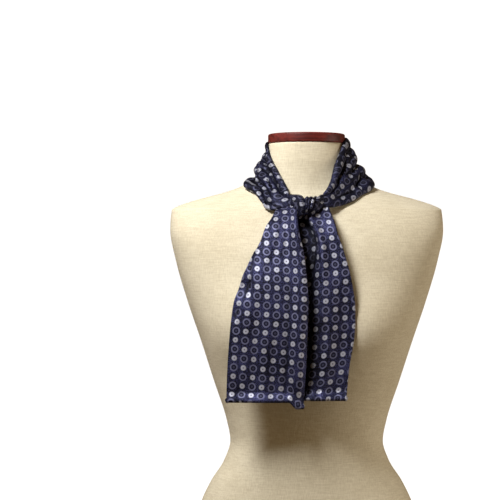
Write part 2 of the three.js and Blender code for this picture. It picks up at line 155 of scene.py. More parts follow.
# Folds: where one starts and ends along the cloth, its place across the cloth at each end as a share
# of the width, its depth, a trough where positive and a ridge where negative, and its half width.
BAND_FOLDS = [
    (12, 150, 0.31, 0.12, 10, 0.06),
    (26, 118, 0.6, 0.91, 12, 0.05),
    (96, 205, 0.86, 0.74, 8, 0.06),
    (70, 205, 0.42, 0.5, 4, 0.05),
    (96, 336, 0.44, 0.52, 9, 0.05),
    (190, 318, 0.22, 0.16, 4, 0.05),
    (205, 345, 0.7, 0.77, 3, 0.04),
    (18, 74, 0.8, 0.62, 2.6, 0.04),
    (40, 100, 0.46, 0.6, 2.4, 0.04),
    (15, 62, 0.15, 0.12, 1.6, 0.03),
    (140, 215, 0.22, 0.3, 3, 0.05),
    (262, 340, 0.34, 0.3, 3, 0.04),
    (298, 345, 0.7, 0.5, 2.4, 0.04),
    (24, 42, 0.72, 0.85, 4.3, 0.045),
    (30, 58, 0.9, 0.7, 5.3, 0.045),
    (34, 52, 0.5, 0.42, 4.3, 0.038),
    (44, 70, 0.25, 0.4, 5.8, 0.045),
    (52, 86, 0.72, 0.55, 6.2, 0.053),
    (62, 92, 0.18, 0.3, 4.8, 0.045),
    (70, 104, 0.5, 0.34, 5.3, 0.045),
    (120, 160, 0.3, 0.42, 4.8, 0.045),
    (150, 190, 0.6, 0.42, 5.8, 0.053),
    (170, 230, 0.36, 0.28, 5.3, 0.045),
    (205, 250, 0.6, 0.72, 5.3, 0.045),
    (225, 262, 0.18, 0.3, 4.8, 0.045),
    (268, 292, 0.84, 0.66, 5.8, 0.053),
    (276, 304, 0.3, 0.12, 5.8, 0.045),
    (284, 312, 0.62, 0.8, 6.2, 0.053),
    (290, 318, 0.5, 0.4, 4.8, 0.038),
    (300, 330, 0.2, 0.36, 5.3, 0.045),
    (310, 338, 0.9, 0.62, 5.3, 0.045),
    (322, 343, 0.42, 0.3, 4.3, 0.038),
]

# The tails: a row for each level. y is the depth of the main panel, fall how far back its outer edge
# lies and roll how far back its inner part turns. ridge is where the right tail's panel ends, wall the
# width over which its inner part then turns back behind the left tail, and rise the ridge's height.
LEFT_TAIL = Table(
    "z left right y fall roll",
    [
        (578, -45.5, -21, -74.6, 2, 0),
        (573, -47.5, -18, -83, 4, 0.5),
        (566, -50.5, -17.5, -90, 7, 1),
        (549, -60.5, -16, -102, 8, 2),
        (532, -66, -13.5, -108.5, 8, 2.5),
        (519, -72, -10.5, -112, 8, 3),
        (510, -77.5, -8.5, -114, 8, 3),
        (493, -85.5, -6.5, -118, 8, 3),
        (476, -93, -4.8, -122, 8, 3),
        (461, -97.5, -3.7, -125, 8, 3),
        (442, -104.5, -2.5, -128, 8, 3.5),
        (415, -108.5, -3.4, -130, 8, 4),
        (388, -111, -4.2, -131, 8, 5),
        (340, -114, -6.7, -131, 6, 6),
        (304, -115, -9, -131, 6, 8),
    ],
)
RIGHT_TAIL = Table(
    "z left right y fall roll ridge wall rise",
    [
        (578, -9, 27, -76, 1, 3, 2, 4, 1),
        (559, -32, 33.5, -92, -6, 18, 2, 5, 2.5),
        (547, -36, 37, -98.5, -9, 20, 7, 5, 2.5),
        (534, -38, 40.2, -103, -9, 21, 13, 6, 3.5),
        (521, -38, 45, -106.5, -8, 21, 15.5, 8, 4),
        (509, -37, 48.5, -109.5, -7, 21, 16, 11, 4),
        (486, -36, 55, -114.5, -4, 19, 17, 20, 2.5),
        (461, -34, 60, -119.5, 0, 16, 20, 30, 0),
        (438, -33, 63, -123, 3, 14, 21, 34, 0),
        (415, -32, 63.3, -125, 5, 13, 21, 36, 0),
        (390, -32, 61.6, -125.5, 5, 13, 20, 36, 0),
        (351, -32, 55, -125.5, 5, 13, 16, 34, 0),
        (306, -31, 50.6, -125.5, 6, 13, 11, 32, 0),
    ],
)
LEFT_FOLDS = [
    (630, 290, 0.97, 0.96, -11.5, 0.17),
    (600, 455, 0.5, 0.34, 1.4, 0.09),
    (600, 490, 0.7, 0.66, 1.2, 0.08),
    (470, 280, 0.36, 0.3, 3, 0.1),
    (500, 280, 0.74, 0.76, 2, 0.05),
    (400, 286, 0.56, 0.6, 1.6, 0.06),
    (380, 284, 0.12, 0.16, 1.8, 0.05),
]
# Tucks of the left tail: the cloth to the left of the line lies further back.
LEFT_TUCKS = [
    (526, 440, -0.03, 0.23, 4.5, 0.04),
    (482, 408, 0.17, 0.03, 4, 0.04),
]
RIGHT_FOLDS = [
    (600, 470, 0.76, 0.8, 1.6, 0.08),
    (440, 280, 0.58, 0.5, 2, 0.06),
    (470, 280, 0.84, 0.8, 2.2, 0.08),
    (590, 500, 0.88, 0.93, 1.2, 0.04),
    (430, 286, 0.7, 0.7, 1.4, 0.05),
]
# The line of one lengthwise thread in each tail. The print's columns run beside it.
LEFT_THREAD = Table(
    "z x",
    [
        (582, -33),
        (568, -32.5),
        (461, -30.4),
        (423, -31.1),
        (398, -33),
        (372, -35.2),
        (347, -36.6),
        (321, -38.6),
        (295, -40.9),
    ],
)
RIGHT_THREAD = Table(
    "z x",
    [
        (578, 10),
        (539, 18),
        (515, 21.4),
        (492, 23.4),
        (467, 23.5),
        (442, 23.1),
        (417, 22.8),
        (391, 21.7),
        (366, 20.3),
        (340, 17.4),
        (306, 12),
    ],
)
# Where a tail's inner part and outer edge begin to turn back and have fully turned, as shares of its
# width from the left
LEFT_ROLL = (0.92, 1.02)
LEFT_FALL = (0.4, -0.1)
RIGHT_FALL = (0.5, 1.1)
RIDGE_WIDTH = 5
# Painted shadow of the left tail on the right tail's inner part: how far right of the ridge it begins
# and is full, and the depth of crease that it counts as
VALLEY_SHADOW_REACH = (5, -10)
VALLEY_PAINTED_SHADOW = 0.95
TAIL_LEAD = 1.5 * CLOTH + 2 * SEAM  # the left tail's middle lies this far before the right one's
LEAD_FADE = (-0.3, -0.06)  # where that sets in and is full, as shares of the right tail's width
LEAD_ROOM = 20  # how much further back the left tail may lie where the right one isn't behind it
LEFT_HEM = {"drop": 9, "reach": (0.82, 0.92)}  # the left tail's curled corner hangs lower
LEFT_TOP = 6  # and its top edge slants down to the left by this much
HEM_POWER = 6  # how closely the drop and the slant keep to the tail's ends
HEM_REACH = 13  # the last of a tail flares forward
HEM_FLARE = 5.5
HEM_ROLL = 1.7  # how much the rolled hem adds to each side
HEM_WIDTH = 4.5
HEM_EDGE = 0.4  # the share of the hem's width over which it thickens
EDGE_PUFF = 0.55  # how much the strip's folded edges add to each side
EDGE_WIDTH = 3.5
TAIL_ROWS = 170
HEM_ROWS = 26
TAIL_COLUMNS = 92
TAIL_RIPPLES = ((9, 5), 0.8)  # as for the band
RIPPLE_FADE = 0.25  # the share of a tail's length over which the ripples set in
LEFT_SEED = 5
RIGHT_SEED = 8

# The knot: pleated cloth that comes over the crossing from behind and turns in below, between the tails.
# y and z are the line of its middle, and crown is how far its side edges fall back from there.
KNOT = Table(
    "along left right y z crown",
    [
        (0, -17, 16, -73, 586, 1),
        (0.14, -24, 22, -80, 593, 7),
        (0.32, -26, 23, -96, 592, 21),
        (0.5, -26, 22, -106, 582, 28),
        (0.66, -21, 17, -106.5, 573, 21),
        (0.82, -15.5, 6, -102, 565, 11),
        (1, -13, -4, -91, 558, 2),
    ],
)
KNOT_FOLDS = [
    (-0.5, 1.3, 0.46, 0.3, 8, 0.05),
    (-0.5, 1.2, 0.62, 0.44, 5.5, 0.03),
    (-0.5, 1.2, 0.75, 0.55, 6.5, 0.035),
    (-0.5, 1.2, 0.88, 0.7, 6, 0.035),
    (0.1, 1.2, 0.16, 0.2, 1.5, 0.04),
    (0.2, 1.3, 0.96, 0.8, 2.5, 0.03),
]
KNOT_GRID = (110, 140)

FOLD_FADE = 0.25  # share of its length over which a fold deepens at each end
GROOVE_BOTTOM = 0.35  # share of its width over which a groove's bottom is rounded
CLEAR_STEP = 0.2  # how far cloth inside the form is moved at a time
CLEAR_TRIES = 200
TIED_PAINTED_SHADE = 0.92  # painted shade: the band and the knot are darkened all over, as if they lay this deep in a crease
HOLLOW_STEPS = 6  # how many grid steps to each side count as the cloth around a point


def ease(value):
    """0 to 1 with level ends."""
    t = np.clip(value, 0, 1)
    return t * t * (3 - 2 * t)


def turned(place, reach):
    """How far a place has gone from the start of a turn to its end."""
    return ease((place - reach[0]) / (reach[1] - reach[0]))


def bell(value, middle, width):
    return np.exp(-(((value - middle) / width) ** 2))


def groove(value, middle, width):
    """A crease between two rounded rolls: steep at its bottom, easing out on both sides."""
    soft = GROOVE_BOTTOM * width
    return np.exp((soft - np.sqrt((value - middle) ** 2 + soft**2)) / width)


def quarter_round(share, reach):
    """0 to 1 over a reach, along a quarter of a circle."""
    return np.sqrt(1 - (1 - np.clip(share / reach, 0, 1)) ** 2)


def ledge(value, middle, width):
    """A step: all of the depth before the middle, none after it."""
    return 1 - ease((value - middle) / width)


def fold_depth(folds, along, across, shape=bell):
    """How deep the folds press the cloth at places along and across it."""
    depth = np.zeros(np.broadcast(along, across).shape)
    for start, end, at, at_end, fold, width in folds:
        progress = (along - start) / (end - start)
        fade = ease(progress / FOLD_FADE) * ease((1 - progress) / FOLD_FADE)
        depth += fold * fade * shape(across, at + (at_end - at) * progress, width)
    return depth


def ripples(shape, cells, height, seed):
    """A soft random unevenness over a grid: random heights at a few cells, blended by cosines."""
    heights = np.random.default_rng(seed).uniform(-height, height, (cells[0] + 1, cells[1] + 1))
    for axis in (0, 1):
        place = np.linspace(0, cells[axis], shape[axis])
        low = np.minimum(place.astype(int), cells[axis] - 1)
        blend = (1 - np.cos(math.pi * (place - low)))[:, None] / 2
        heights = heights[low] * (1 - blend) + heights[low + 1] * blend
        heights = heights.T
    return heights


# The form's surface


def bust_at(x, z):
    sides = bell(x, BUST["apart"], BUST["width"]) + bell(x, -BUST["apart"], BUST["width"])
    return BUST["rise"] * sides * bell(z, BUST["z"], BUST["height"])


def form_points(angle, z):
    """Points of the form's surface at section angles and levels."""
    section = FORM.at(z)
    power = 2 / section["square"]
    across = np.sign(np.cos(angle)) * np.abs(np.cos(angle)) ** power
    forward = np.sign(np.sin(angle)) * np.abs(np.sin(angle)) ** power
    x = section["half_width"] * across
    depth = np.where(forward > 0, section["front"], section["back"])
    bust = bust_at(x, z) * ease(forward / BUST["fade"])
    return np.stack([x, -depth * forward - bust, z + 0 * x], axis=-1)


def inside_form(points, gap):
    x, y, z = points[..., 0], points[..., 1], points[..., 2]
    section = FORM.at(np.minimum(z - gap, NECK_TOP))
    front = y < 0
    depth = np.where(front, section["front"] + bust_at(x, z), section["back"]) + gap
    width = section["half_width"] + gap
    return (np.abs(x) / width) ** section["square"] + (np.abs(y) / depth) ** section["square"] < 1


def clear_of_form(points, direction):
    """Moves cloth points along a direction until they are clear of the form."""
    direction = np.broadcast_to(direction, points.shape)
    for _ in range(CLEAR_TRIES):
        buried = inside_form(points, CLOTH / 2 + CLOTH_GAP)
        if not buried.any():
            break
        points = np.where(buried[..., None], points + CLEAR_STEP * direction, points)
    return points


def around_form(turn, z, stand):
    """Points beside the form at angles from the front towards the left."""
    angle = np.radians(turn)
    out_x, out_y = -np.sin(angle), -np.cos(angle)
    section = FORM.at(np.minimum(z, NECK_TOP))
    depth = np.where(out_y < 0, section["front"], section["back"])
    power = section["square"]
    nearness = (np.abs(out_x) / section["half_width"]) ** power + (np.abs(out_y) / depth) ** power
    reach = nearness ** (-1 / power) + stand
    return np.stack([out_x * reach, out_y * reach, z + 0 * reach], axis=-1)


# Grids of cloth points: the first axis runs along the cloth, the second across it


def unit(vectors):
    return vectors / np.linalg.norm(vectors, axis=-1, keepdims=True)


def normals(grid):
    return unit(np.cross(np.gradient(grid, axis=0), np.gradient(grid, axis=1)))


def hollows(grid):
    """How far each point lies in from the cloth around it."""
    around = grid
    for axis in (0, 1):
        pad = [(0, 0)] * 3
        pad[axis] = (HOLLOW_STEPS, HOLLOW_STEPS)
        wide = np.pad(around, pad, mode="edge")
        size = grid.shape[axis]
        near = [np.take(wide, range(k, k + size), axis=axis) for k in range(2 * HOLLOW_STEPS + 1)]
        around = np.mean(near, axis=0)
    return np.sum((around - grid) * normals(grid), axis=-1)


def lengths(grid, axis):
    """Distance walked over a grid along one axis, from its start."""
    steps = np.linalg.norm(np.diff(grid, axis=axis), axis=-1)
    start = np.zeros_like(np.take(steps, [0], axis=axis))
    return np.cumsum(np.concatenate([start, steps], axis=axis), axis=axis)


def printed(across, along, place):
    """A place on the flat cloth, with the print shifted to where it lies on this piece."""
    return np.stack([across + place["across"], along - place["lean"] * across + place["along"]], axis=-1)


def cloth_map(grid, place):
    """Where each point lies on the flat cloth: along the grid's middle line, and square to it."""
    start = grid.shape[1] // 2
    tangent = unit(np.gradient(grid, axis=0))
    step = np.diff(grid, axis=1)
    tangent = (tangent[:, 1:] + tangent[:, :-1]) / 2
    along_step = np.sum(step * tangent, axis=-1)
    across_step = np.linalg.norm(step - along_step[..., None] * tangent, axis=-1)
    rows = len(grid)
    across = np.hstack([np.zeros((rows, 1)), np.cumsum(across_step, axis=1)])
    along = np.hstack([np.zeros((rows, 1)), np.cumsum(along_step, axis=1)])
    along = along - along[:, start : start + 1] + lengths(grid, 0)[:, start : start + 1]
    return printed(across - across[:, start : start + 1], along, place)


def hung_map(grid, thread, place):
    """Where each point lies on the flat cloth: across it from a lengthwise thread, and along that."""
    across = lengths(grid, 1)
    z = grid[:, 0, 2]
    x = thread.at(z)["x"]
    start = np.array([np.interp(x[i], grid[i, :, 0], across[i]) for i in range(len(z))])
    y = np.array([np.interp(x[i], grid[i, :, 0], grid[i, :, 1]) for i in range(len(z))])
    along = lengths(np.stack([x, y, z], axis=-1)[:, None], 0)
    return printed(across - start[:, None], along, place)


def band_grid():
    turns = np.linspace(*BAND_ENDS, BAND_GRID[0])[:, None]
    share = np.linspace(0, 1, BAND_GRID[1])[None, :]
    row = BAND.at(turns)
    stand = CLOTH / 2 + CLOTH_GAP
    top = around_form(turns, row["top_z"], row["stand"] + stand)
    edge = around_form(row["edge_turn"], row["edge_z"], row["edge_stand"] + stand)
    flat = top + (edge - top) * share[..., None]
    out = normals(flat)
    inward = quarter_round(share, TOP_TURN)
    under = quarter_round(1 - share, EDGE_TURN)
    swell = (row["puff"] + row["lip"] * turned(share, LIP_REACH)) * under
    swell = swell + row["roll"] * turned(share, ROLL_REACH)
    depth = row["fold"] * fold_depth(BAND_FOLDS, turns, share, groove)
    uneven = ripples(BAND_GRID, *BAND_RIPPLES, BAND_SEED) * under
    return clear_of_form(flat + out * ((swell - depth + uneven) * inward)[..., None], out)


def tail_points(table, folds, z, share, roll, fall):
    row = table.at(z)
    x = row["left"] + (row["right"] - row["left"]) * share
    back = row["roll"] * turned(share, roll) + row["fall"] * turned(share, fall)
    y = row["y"] + back + fold_depth(folds, z, share)
    return np.stack([x, y, z + 0 * x], axis=-1)


def forward_of_form(points):
    return clear_of_form(points, np.array([0, -1.0, 0]))


def right_tail_points(z, share):
    """The right tail's inner part turns back to the form from a soft ridge."""
    row = RIGHT_TAIL.at(z)
    width = row["right"] - row["left"]
    ridge = (row["ridge"] - row["left"]) / width
    wall = ridge - row["wall"] / width
    points = tail_points(RIGHT_TAIL, RIGHT_FOLDS, z, share, (ridge, wall), RIGHT_FALL)
    points[..., 1] -= row["rise"] * bell(points[..., 0], row["ridge"] + RIDGE_WIDTH / 2, RIDGE_WIDTH)
    return forward_of_form(points)


def valley_painted_shadow(grid):
    """Painted shadow that the left tail casts on the right tail's inner part, as a depth of crease that
    it counts as.
    """
    row = RIGHT_TAIL.at(grid[..., 2])
    lit, dark = VALLEY_SHADOW_REACH
    return VALLEY_PAINTED_SHADOW * turned(grid[..., 0] - row["ridge"], (lit, dark))


def left_tail_points(z, share):
    """The left tail hangs in front of the right one where they cross."""
    points = tail_points(LEFT_TAIL, LEFT_FOLDS, z, share, LEFT_ROLL, LEFT_FALL)
    points[..., 1] += fold_depth(LEFT_TUCKS, z, share, ledge)
    points = forward_of_form(points)
    row = RIGHT_TAIL.at(z)
    place = (points[..., 0] - row["left"]) / (row["right"] - row["left"])
    behind = right_tail_points(z + 0 * place, np.maximum(place, 0))[..., 1]
    room = LEAD_ROOM * (1 - turned(place, LEAD_FADE))
    points[..., 1] = np.minimum(points[..., 1], behind - TAIL_LEAD + room)
    return points


def tail_grid(table, points_at, hem, slant, seed):
    top, low = table.keys[-1], table.keys[0]
    z = np.linspace(top, low + HEM_REACH, TAIL_ROWS)
    z = np.concatenate([z, np.linspace(low + HEM_REACH, low, HEM_ROWS)[1:]])[:, None]
    share = np.linspace(0, 1, TAIL_COLUMNS)[None, :]
    grid = points_at(z, share)
    down = (top - z) / (top - low)
    if hem:
        grid[..., 2] -= hem["drop"] * turned(share, hem["reach"]) * down**HEM_POWER
    grid[..., 2] -= slant * (1 - share) * (1 - down) ** HEM_POWER
    grid[..., 1] += ripples(grid.shape[:2], *TAIL_RIPPLES, seed) * ease(down / RIPPLE_FADE)
    grid[..., 1] -= HEM_FLARE * ease((low + HEM_REACH - z) / HEM_REACH)
    return grid


def tail_thickness(grid):
    """Half the thickness: the doubled strip is puffed at its folded edges and rolled at its hem."""
    across = lengths(grid, 1)
    along = lengths(grid, 0)
    from_side = np.minimum(across, across[:, -1:] - across)
    from_hem = along[-1:] - along
    half = CLOTH / 2 + EDGE_PUFF * ease((EDGE_WIDTH - from_side) / EDGE_WIDTH)
    return half + HEM_ROLL * ease((HEM_WIDTH - from_hem) / (HEM_EDGE * HEM_WIDTH))


def knot_grid():
    along = np.linspace(0, 1, KNOT_GRID[0])[:, None]
    share = np.linspace(0, 1, KNOT_GRID[1])[None, :]
    row = KNOT.at(along)
    x = row["left"] + (row["right"] - row["left"]) * share
    y = row["y"] + row["crown"] * (2 * share - 1) ** 2
    grid = np.stack([x, y, row["z"] + 0 * x], axis=-1)
    return grid - normals(grid) * fold_depth(KNOT_FOLDS, along, share, groove)[..., None]


# Meshes


def add_mesh(name, points, faces, material, flat=None, painted_shade_depth=None):
    """A smooth-shaded mesh object. points are in millimetres; flat is each point's place on the cloth
    and painted_shade_depth the depth of crease that it counts as, which sets the shade painted on it."""
    mesh = bpy.data.meshes.new(name)
    mesh.from_pydata((np.asarray(points) * MM).tolist(), [], faces)
    mesh.polygons.foreach_set("use_smooth", [True] * len(mesh.polygons))
    if flat is not None:
        corners = np.empty(len(mesh.loops), int)
        mesh.loops.foreach_get("vertex_index", corners)
        layer = mesh.uv_layers.new(name="cloth")
        layer.data.foreach_set("uv", (np.asarray(flat)[corners] * MM).ravel())
    if painted_shade_depth is not None:
        mesh.attributes.new("painted_shade_depth", "FLOAT", "POINT").data.foreach_set("value", painted_shade_depth * MM)
    mesh.update()
    piece = bpy.data.objects.new(name, mesh)
    bpy.context.collection.objects.link(piece)
    mesh.materials.append(material)
    return piece


def rim_order(rows, columns):
    """The grid's border points in order, once round."""
    first = [(0, j) for j in range(columns)]
    right = [(i, columns - 1) for i in range(1, rows)]
    last = [(rows - 1, j) for j in range(columns - 2, -1, -1)]
    left = [(i, 0) for i in range(rows - 2, 0, -1)]
    return np.array(first + right + last + left)


def cloth_piece(name, grid, flat, material, half=None, painted_shade=0):
    """A closed shell of cloth about a grid of middle points, with a rounded rim. half is half its
    thickness, and painted_shade a depth in millimetres that is added to how deep in a crease it lies,
    for the painted shade."""
    rows, columns = grid.shape[:2]
    count = rows * columns
    half = np.full((rows, columns, 1), CLOTH / 2) if half is None else half[..., None]
    out = normals(grid)
    rim = rim_order(rows, columns)
    at_rim = (rim[:, 0], rim[:, 1])
    border = grid[at_rim]
    way = np.roll(border, -1, axis=0) - np.roll(border, 1, axis=0)
    outward = unit(np.cross(out[at_rim], way))
    from_middle = border - grid.mean(axis=(0, 1))
    outward *= np.sign(np.sum(outward * from_middle, axis=1, keepdims=True)).mean()
    face = (grid + out * half).reshape(-1, 3)
    back = (grid - out * half).reshape(-1, 3)
    points = np.concatenate([face, back, border + outward * half[at_rim]])
    places = np.concatenate([flat.reshape(-1, 2), flat.reshape(-1, 2), flat[at_rim]])
    # the depth in a crease, with the painted shade added, sets how much shade the material paints on
    # each point
    deep = np.maximum(hollows(grid), 0) + painted_shade
    deep = np.concatenate([deep.ravel(), deep.ravel(), deep[at_rim]])
    index = np.arange(count).reshape(rows, columns)
    corners = [index[:-1, :-1], index[1:, :-1], index[1:, 1:], index[:-1, 1:]]
    quads = np.stack(corners, axis=-1).reshape(-1, 4)
    here = index[at_rim]
    after = np.roll(here, -1)
    edge = 2 * count + np.arange(len(rim))
    edge_after = np.roll(edge, -1)
    upper = np.stack([here, after, edge_after, edge], axis=-1)
    lower = np.stack([edge, edge_after, after + count, here + count], axis=-1)
    faces = np.concatenate([quads, quads[:, ::-1] + count, upper, lower])
    return add_mesh(name, points, faces.tolist(), material, places, deep)


def lathe(profile, around, base=0):
    """Rings of points about the upright axis, one for each radius and height of a profile."""
    angle = np.arange(around) * 2 * math.pi / around
    return np.array([[(r * math.cos(a), r * math.sin(a), base + h) for a in angle] for r, h in profile])


def ring_mesh(name, rings, flat, material):
    """A closed mesh of stacked rings with the same number of points, with flat ends."""
    levels, around = rings.shape[:2]
    middles = [rings[0].mean(axis=0)[None], rings[-1].mean(axis=0)[None]]
    points = np.concatenate([rings.reshape(-1, 3)] + middles)
    places = np.concatenate([flat.reshape(-1, 2), flat[0, :1], flat[-1, :1]])
    index = np.arange(levels * around).reshape(levels, around)
    after = np.roll(index, -1, axis=1)
    sides = np.stack([index[:-1], after[:-1], after[1:], index[1:]], axis=-1).reshape(-1, 4)
    low, high = levels * around, levels * around + 1
    under = [(low, b, a) for a, b in zip(index[0].tolist(), after[0].tolist())]
    over = [(high, a, b) for a, b in zip(index[-1].tolist(), after[-1].tolist())]
    return add_mesh(name, points, sides.tolist() + under + over, material, places)


# Materials


MIX_INPUTS = (6, 7)  # a mix node's colour sockets
MIX_RESULT = 2


class Nodes:
    """Short ways to add and join the nodes of one material."""

    def __init__(self, name):
        self.material = bpy.data.materials.new(name)
        self.material.use_nodes = True
        self.tree = self.material.node_tree
        self.shader = self.tree.nodes["Principled BSDF"]

    def add(self, kind, **settings):
        node = self.tree.nodes.new(kind)
        for name, value in settings.items():
            setattr(node, name, value)
        return node

    def put(self, socket, value):
        if isinstance(value, bpy.types.NodeSocket):
            self.tree.links.new(value, socket)
        else:
            socket.default_value = value

    def math(self, operation, *values):
        node = self.add("ShaderNodeMath", operation=operation)
        for socket, value in zip(node.inputs, values):
            self.put(socket, value)
        return node.outputs[0]

    def mix(self, share, first, second):
        node = self.add("ShaderNodeMix", data_type="RGBA")
        self.put(node.inputs["Factor"], share)
        for socket, value in zip(MIX_INPUTS, (first, second)):
            self.put(node.inputs[socket], value)
        return node.outputs[MIX_RESULT]

    def between(self, value, low, high, start=0.0, end=1.0):
        """start below low, end above high, and a smooth step between."""
        node = self.add("ShaderNodeMapRange", interpolation_type="SMOOTHSTEP")
        for socket, number in zip(node.inputs, (value, low, high, start, end)):
            self.put(socket, number)
        return node.outputs[0]

    def noise(self, vector, scale, detail=2.0, roughness=0.5):
        node = self.add("ShaderNodeTexNoise")
        self.put(node.inputs["Vector"], vector)
        self.put(node.inputs["Scale"], scale)
        self.put(node.inputs["Detail"], detail)
        self.put(node.inputs["Roughness"], roughness)
        return node.outputs["Fac"]

    def stretch(self, vector, scale):
        node = self.add("ShaderNodeMapping")
        self.put(node.inputs["Vector"], vector)
        self.put(node.inputs["Scale"], scale)
        return node.outputs[0]

    def flat_cloth(self):
        """The place on the flat cloth, and its two parts."""
        node = self.add("ShaderNodeUVMap", uv_map="cloth")
        parts = self.add("ShaderNodeSeparateXYZ")
        self.put(parts.inputs[0], node.outputs[0])
        return node.outputs[0], parts.outputs[0], parts.outputs[1]

    def bump(self, height, strength, distance):
        node = self.add("ShaderNodeBump")
        self.put(node.inputs["Strength"], strength)
        self.put(node.inputs["Distance"], distance)
        self.put(node.inputs["Height"], height)
        self.put(self.shader.inputs["Normal"], node.outputs[0])


def colour(red, green, blue):
    """A display colour from 0 to 255 as the linear one that the nodes take, by the sRGB curve."""

    def linear(part):
        part /= 255
        return part / 12.92 if part <= 0.04045 else ((part + 0.055) / 1.055) ** 2.4

    return (linear(red), linear(green), linear(blue), 1.0)


# The satin's print, in metres: dots and rings by turns, one in each cell
REPEAT_ACROSS = 0.0138
REPEAT_ALONG = 0.0127
DOT_RADIUS = 0.0037
DOT_EYE = 0.0010
RING_RADIUS = 0.0055
RING_LINE = 0.0019
RING_EYE = 0.0013
PRINT_EDGE = 0.00055
GROUND = colour(76, 78, 124)
GROUND_DEEP = colour(17, 17, 29)
RING_COLOUR = colour(114, 116, 148)
RING_INSIDE = colour(30, 30, 51)
DOT_COLOUR = colour(186, 188, 203)
DOT_EYE_COLOUR = colour(104, 102, 114)
# Painted shade: the ground, rings and dots darken towards this colour where the cloth lies in a crease,
# and where a piece is given painted shade or painted shadow
CREASE_SHADE_COLOUR = colour(6, 6, 10)
CREASE_SHADE_REACH = (0.0001, 0.0016)  # depths in a crease where the painted shade begins and is darkest
CREASE_SHADE_SHARE = 0.85
DOT_CREASE_SHADE_SHARE = 0.5
RING_EYE_SHARE = 0.55
WANDER = 0.0009  # how far the print's edges stray
WANDER_SCALE = 260.0
# Noises: scale, detail and, where it isn't the usual one, roughness
DYE_NOISE = (22.0, 3.0)
FLECK_NOISE = (520.0, 3.0, 0.75)
THREAD_NOISE = (1.0, 3.0)
DYE_SHARE = 0.3
FLECK_SHARE = 0.7
GROUND_TONES = (0.43, 0.63)  # the tones where the ground is darkest and lightest
GLOSS_STRETCH = (60.0, 600.0, 1.0)
SATIN_ROUGHNESS = (0.2, 0.8, 0.56, 0.64)  # a range of gloss and the roughness at its ends
SATIN_SHINE = 0.55  # how much of its light the satin mirrors in its own colour
SATIN_SPECULAR = 0.25
THREAD = 0.00045
FLOAT_SLANT = 0.4
FLOAT_HEIGHT = 0.35
SLUB_STRETCH = (900.0, 90.0, 1.0)
SATIN_BUMP = (0.12, 0.0004)  # strength, and height in metres


def foulard_satin():
    n = Nodes("foulard_satin")
    place, across, along = n.flat_cloth()
    wander = n.math("MULTIPLY", n.math("SUBTRACT", n.noise(place, WANDER_SCALE), 0.5), WANDER)
    cell_across = n.math("DIVIDE", n.math("ADD", across, wander), REPEAT_ACROSS)
    cell_along = n.math("DIVIDE", n.math("SUBTRACT", along, wander), REPEAT_ALONG)
    column = n.math("FLOOR", cell_across)
    row = n.math("FLOOR", cell_along)
    is_ring = n.math("FLOORED_MODULO", n.math("ADD", column, row), 2.0)
    is_dot = n.math("SUBTRACT", 1.0, is_ring)
    off_across = n.math("MULTIPLY", n.math("SUBTRACT", n.math("FRACT", cell_across), 0.5), REPEAT_ACROSS)
    off_along = n.math("MULTIPLY", n.math("SUBTRACT", n.math("FRACT", cell_along), 0.5), REPEAT_ALONG)
    squares = n.math("ADD", n.math("POWER", off_across, 2.0), n.math("POWER", off_along, 2.0))
    radius = n.math("SQRT", squares)

    def disc(size):
        return n.between(radius, size - PRINT_EDGE, size + PRINT_EDGE, 1.0, 0.0)

    dye = n.noise(place, *DYE_NOISE)
    fleck = n.noise(place, *FLECK_NOISE)
    tone = n.math("ADD", n.math("MULTIPLY", dye, DYE_SHARE), n.math("MULTIPLY", fleck, FLECK_SHARE))
    shade = n.mix(n.between(tone, *GROUND_TONES), GROUND_DEEP, GROUND)
    inner = disc(RING_RADIUS - RING_LINE)
    shade = n.mix(n.math("MULTIPLY", inner, is_ring), shade, RING_INSIDE)
    line = n.math("SUBTRACT", disc(RING_RADIUS), inner)
    shade = n.mix(n.math("MULTIPLY", line, is_ring), shade, RING_COLOUR)
    eye = n.math("SUBTRACT", disc(RING_EYE), disc(RING_EYE / 2))
    eye = n.math("MULTIPLY", n.math("MULTIPLY", eye, is_ring), RING_EYE_SHARE)
    shade = n.mix(eye, shade, RING_COLOUR)
    # painted shade in creases, with the painted shade and shadow given to some pieces, read from the
    # cloth's depth attribute
    painted_shade_depth = n.add("ShaderNodeAttribute", attribute_name="painted_shade_depth").outputs["Fac"]
    crease_shade = n.between(painted_shade_depth, *CREASE_SHADE_REACH)
    shade = n.mix(n.math("MULTIPLY", crease_shade, CREASE_SHADE_SHARE), shade, CREASE_SHADE_COLOUR)
    dot_shade = n.mix(n.math("MULTIPLY", crease_shade, DOT_CREASE_SHADE_SHARE), DOT_COLOUR, CREASE_SHADE_COLOUR)
    shade = n.mix(n.math("MULTIPLY", disc(DOT_RADIUS), is_dot), shade, dot_shade)
    shade = n.mix(n.math("MULTIPLY", disc(DOT_EYE), is_dot), shade, DOT_EYE_COLOUR)
    n.put(n.shader.inputs["Base Color"], shade)

    gloss = n.noise(n.stretch(place, GLOSS_STRETCH), *THREAD_NOISE)
    n.put(n.shader.inputs["Roughness"], n.between(gloss, *SATIN_ROUGHNESS))
    n.shader.inputs["Metallic"].default_value = SATIN_SHINE
    n.shader.inputs["Specular IOR Level"].default_value = SATIN_SPECULAR
    turn = 2 * math.pi / THREAD
    slant = n.math("ADD", across, n.math("MULTIPLY", along, FLOAT_SLANT))
    floats = n.math("SINE", n.math("MULTIPLY", slant, turn))
    slub = n.noise(n.stretch(place, SLUB_STRETCH), *THREAD_NOISE)
    n.bump(n.math("ADD", n.math("MULTIPLY", floats, FLOAT_HEIGHT), slub), *SATIN_BUMP)
    return n.material


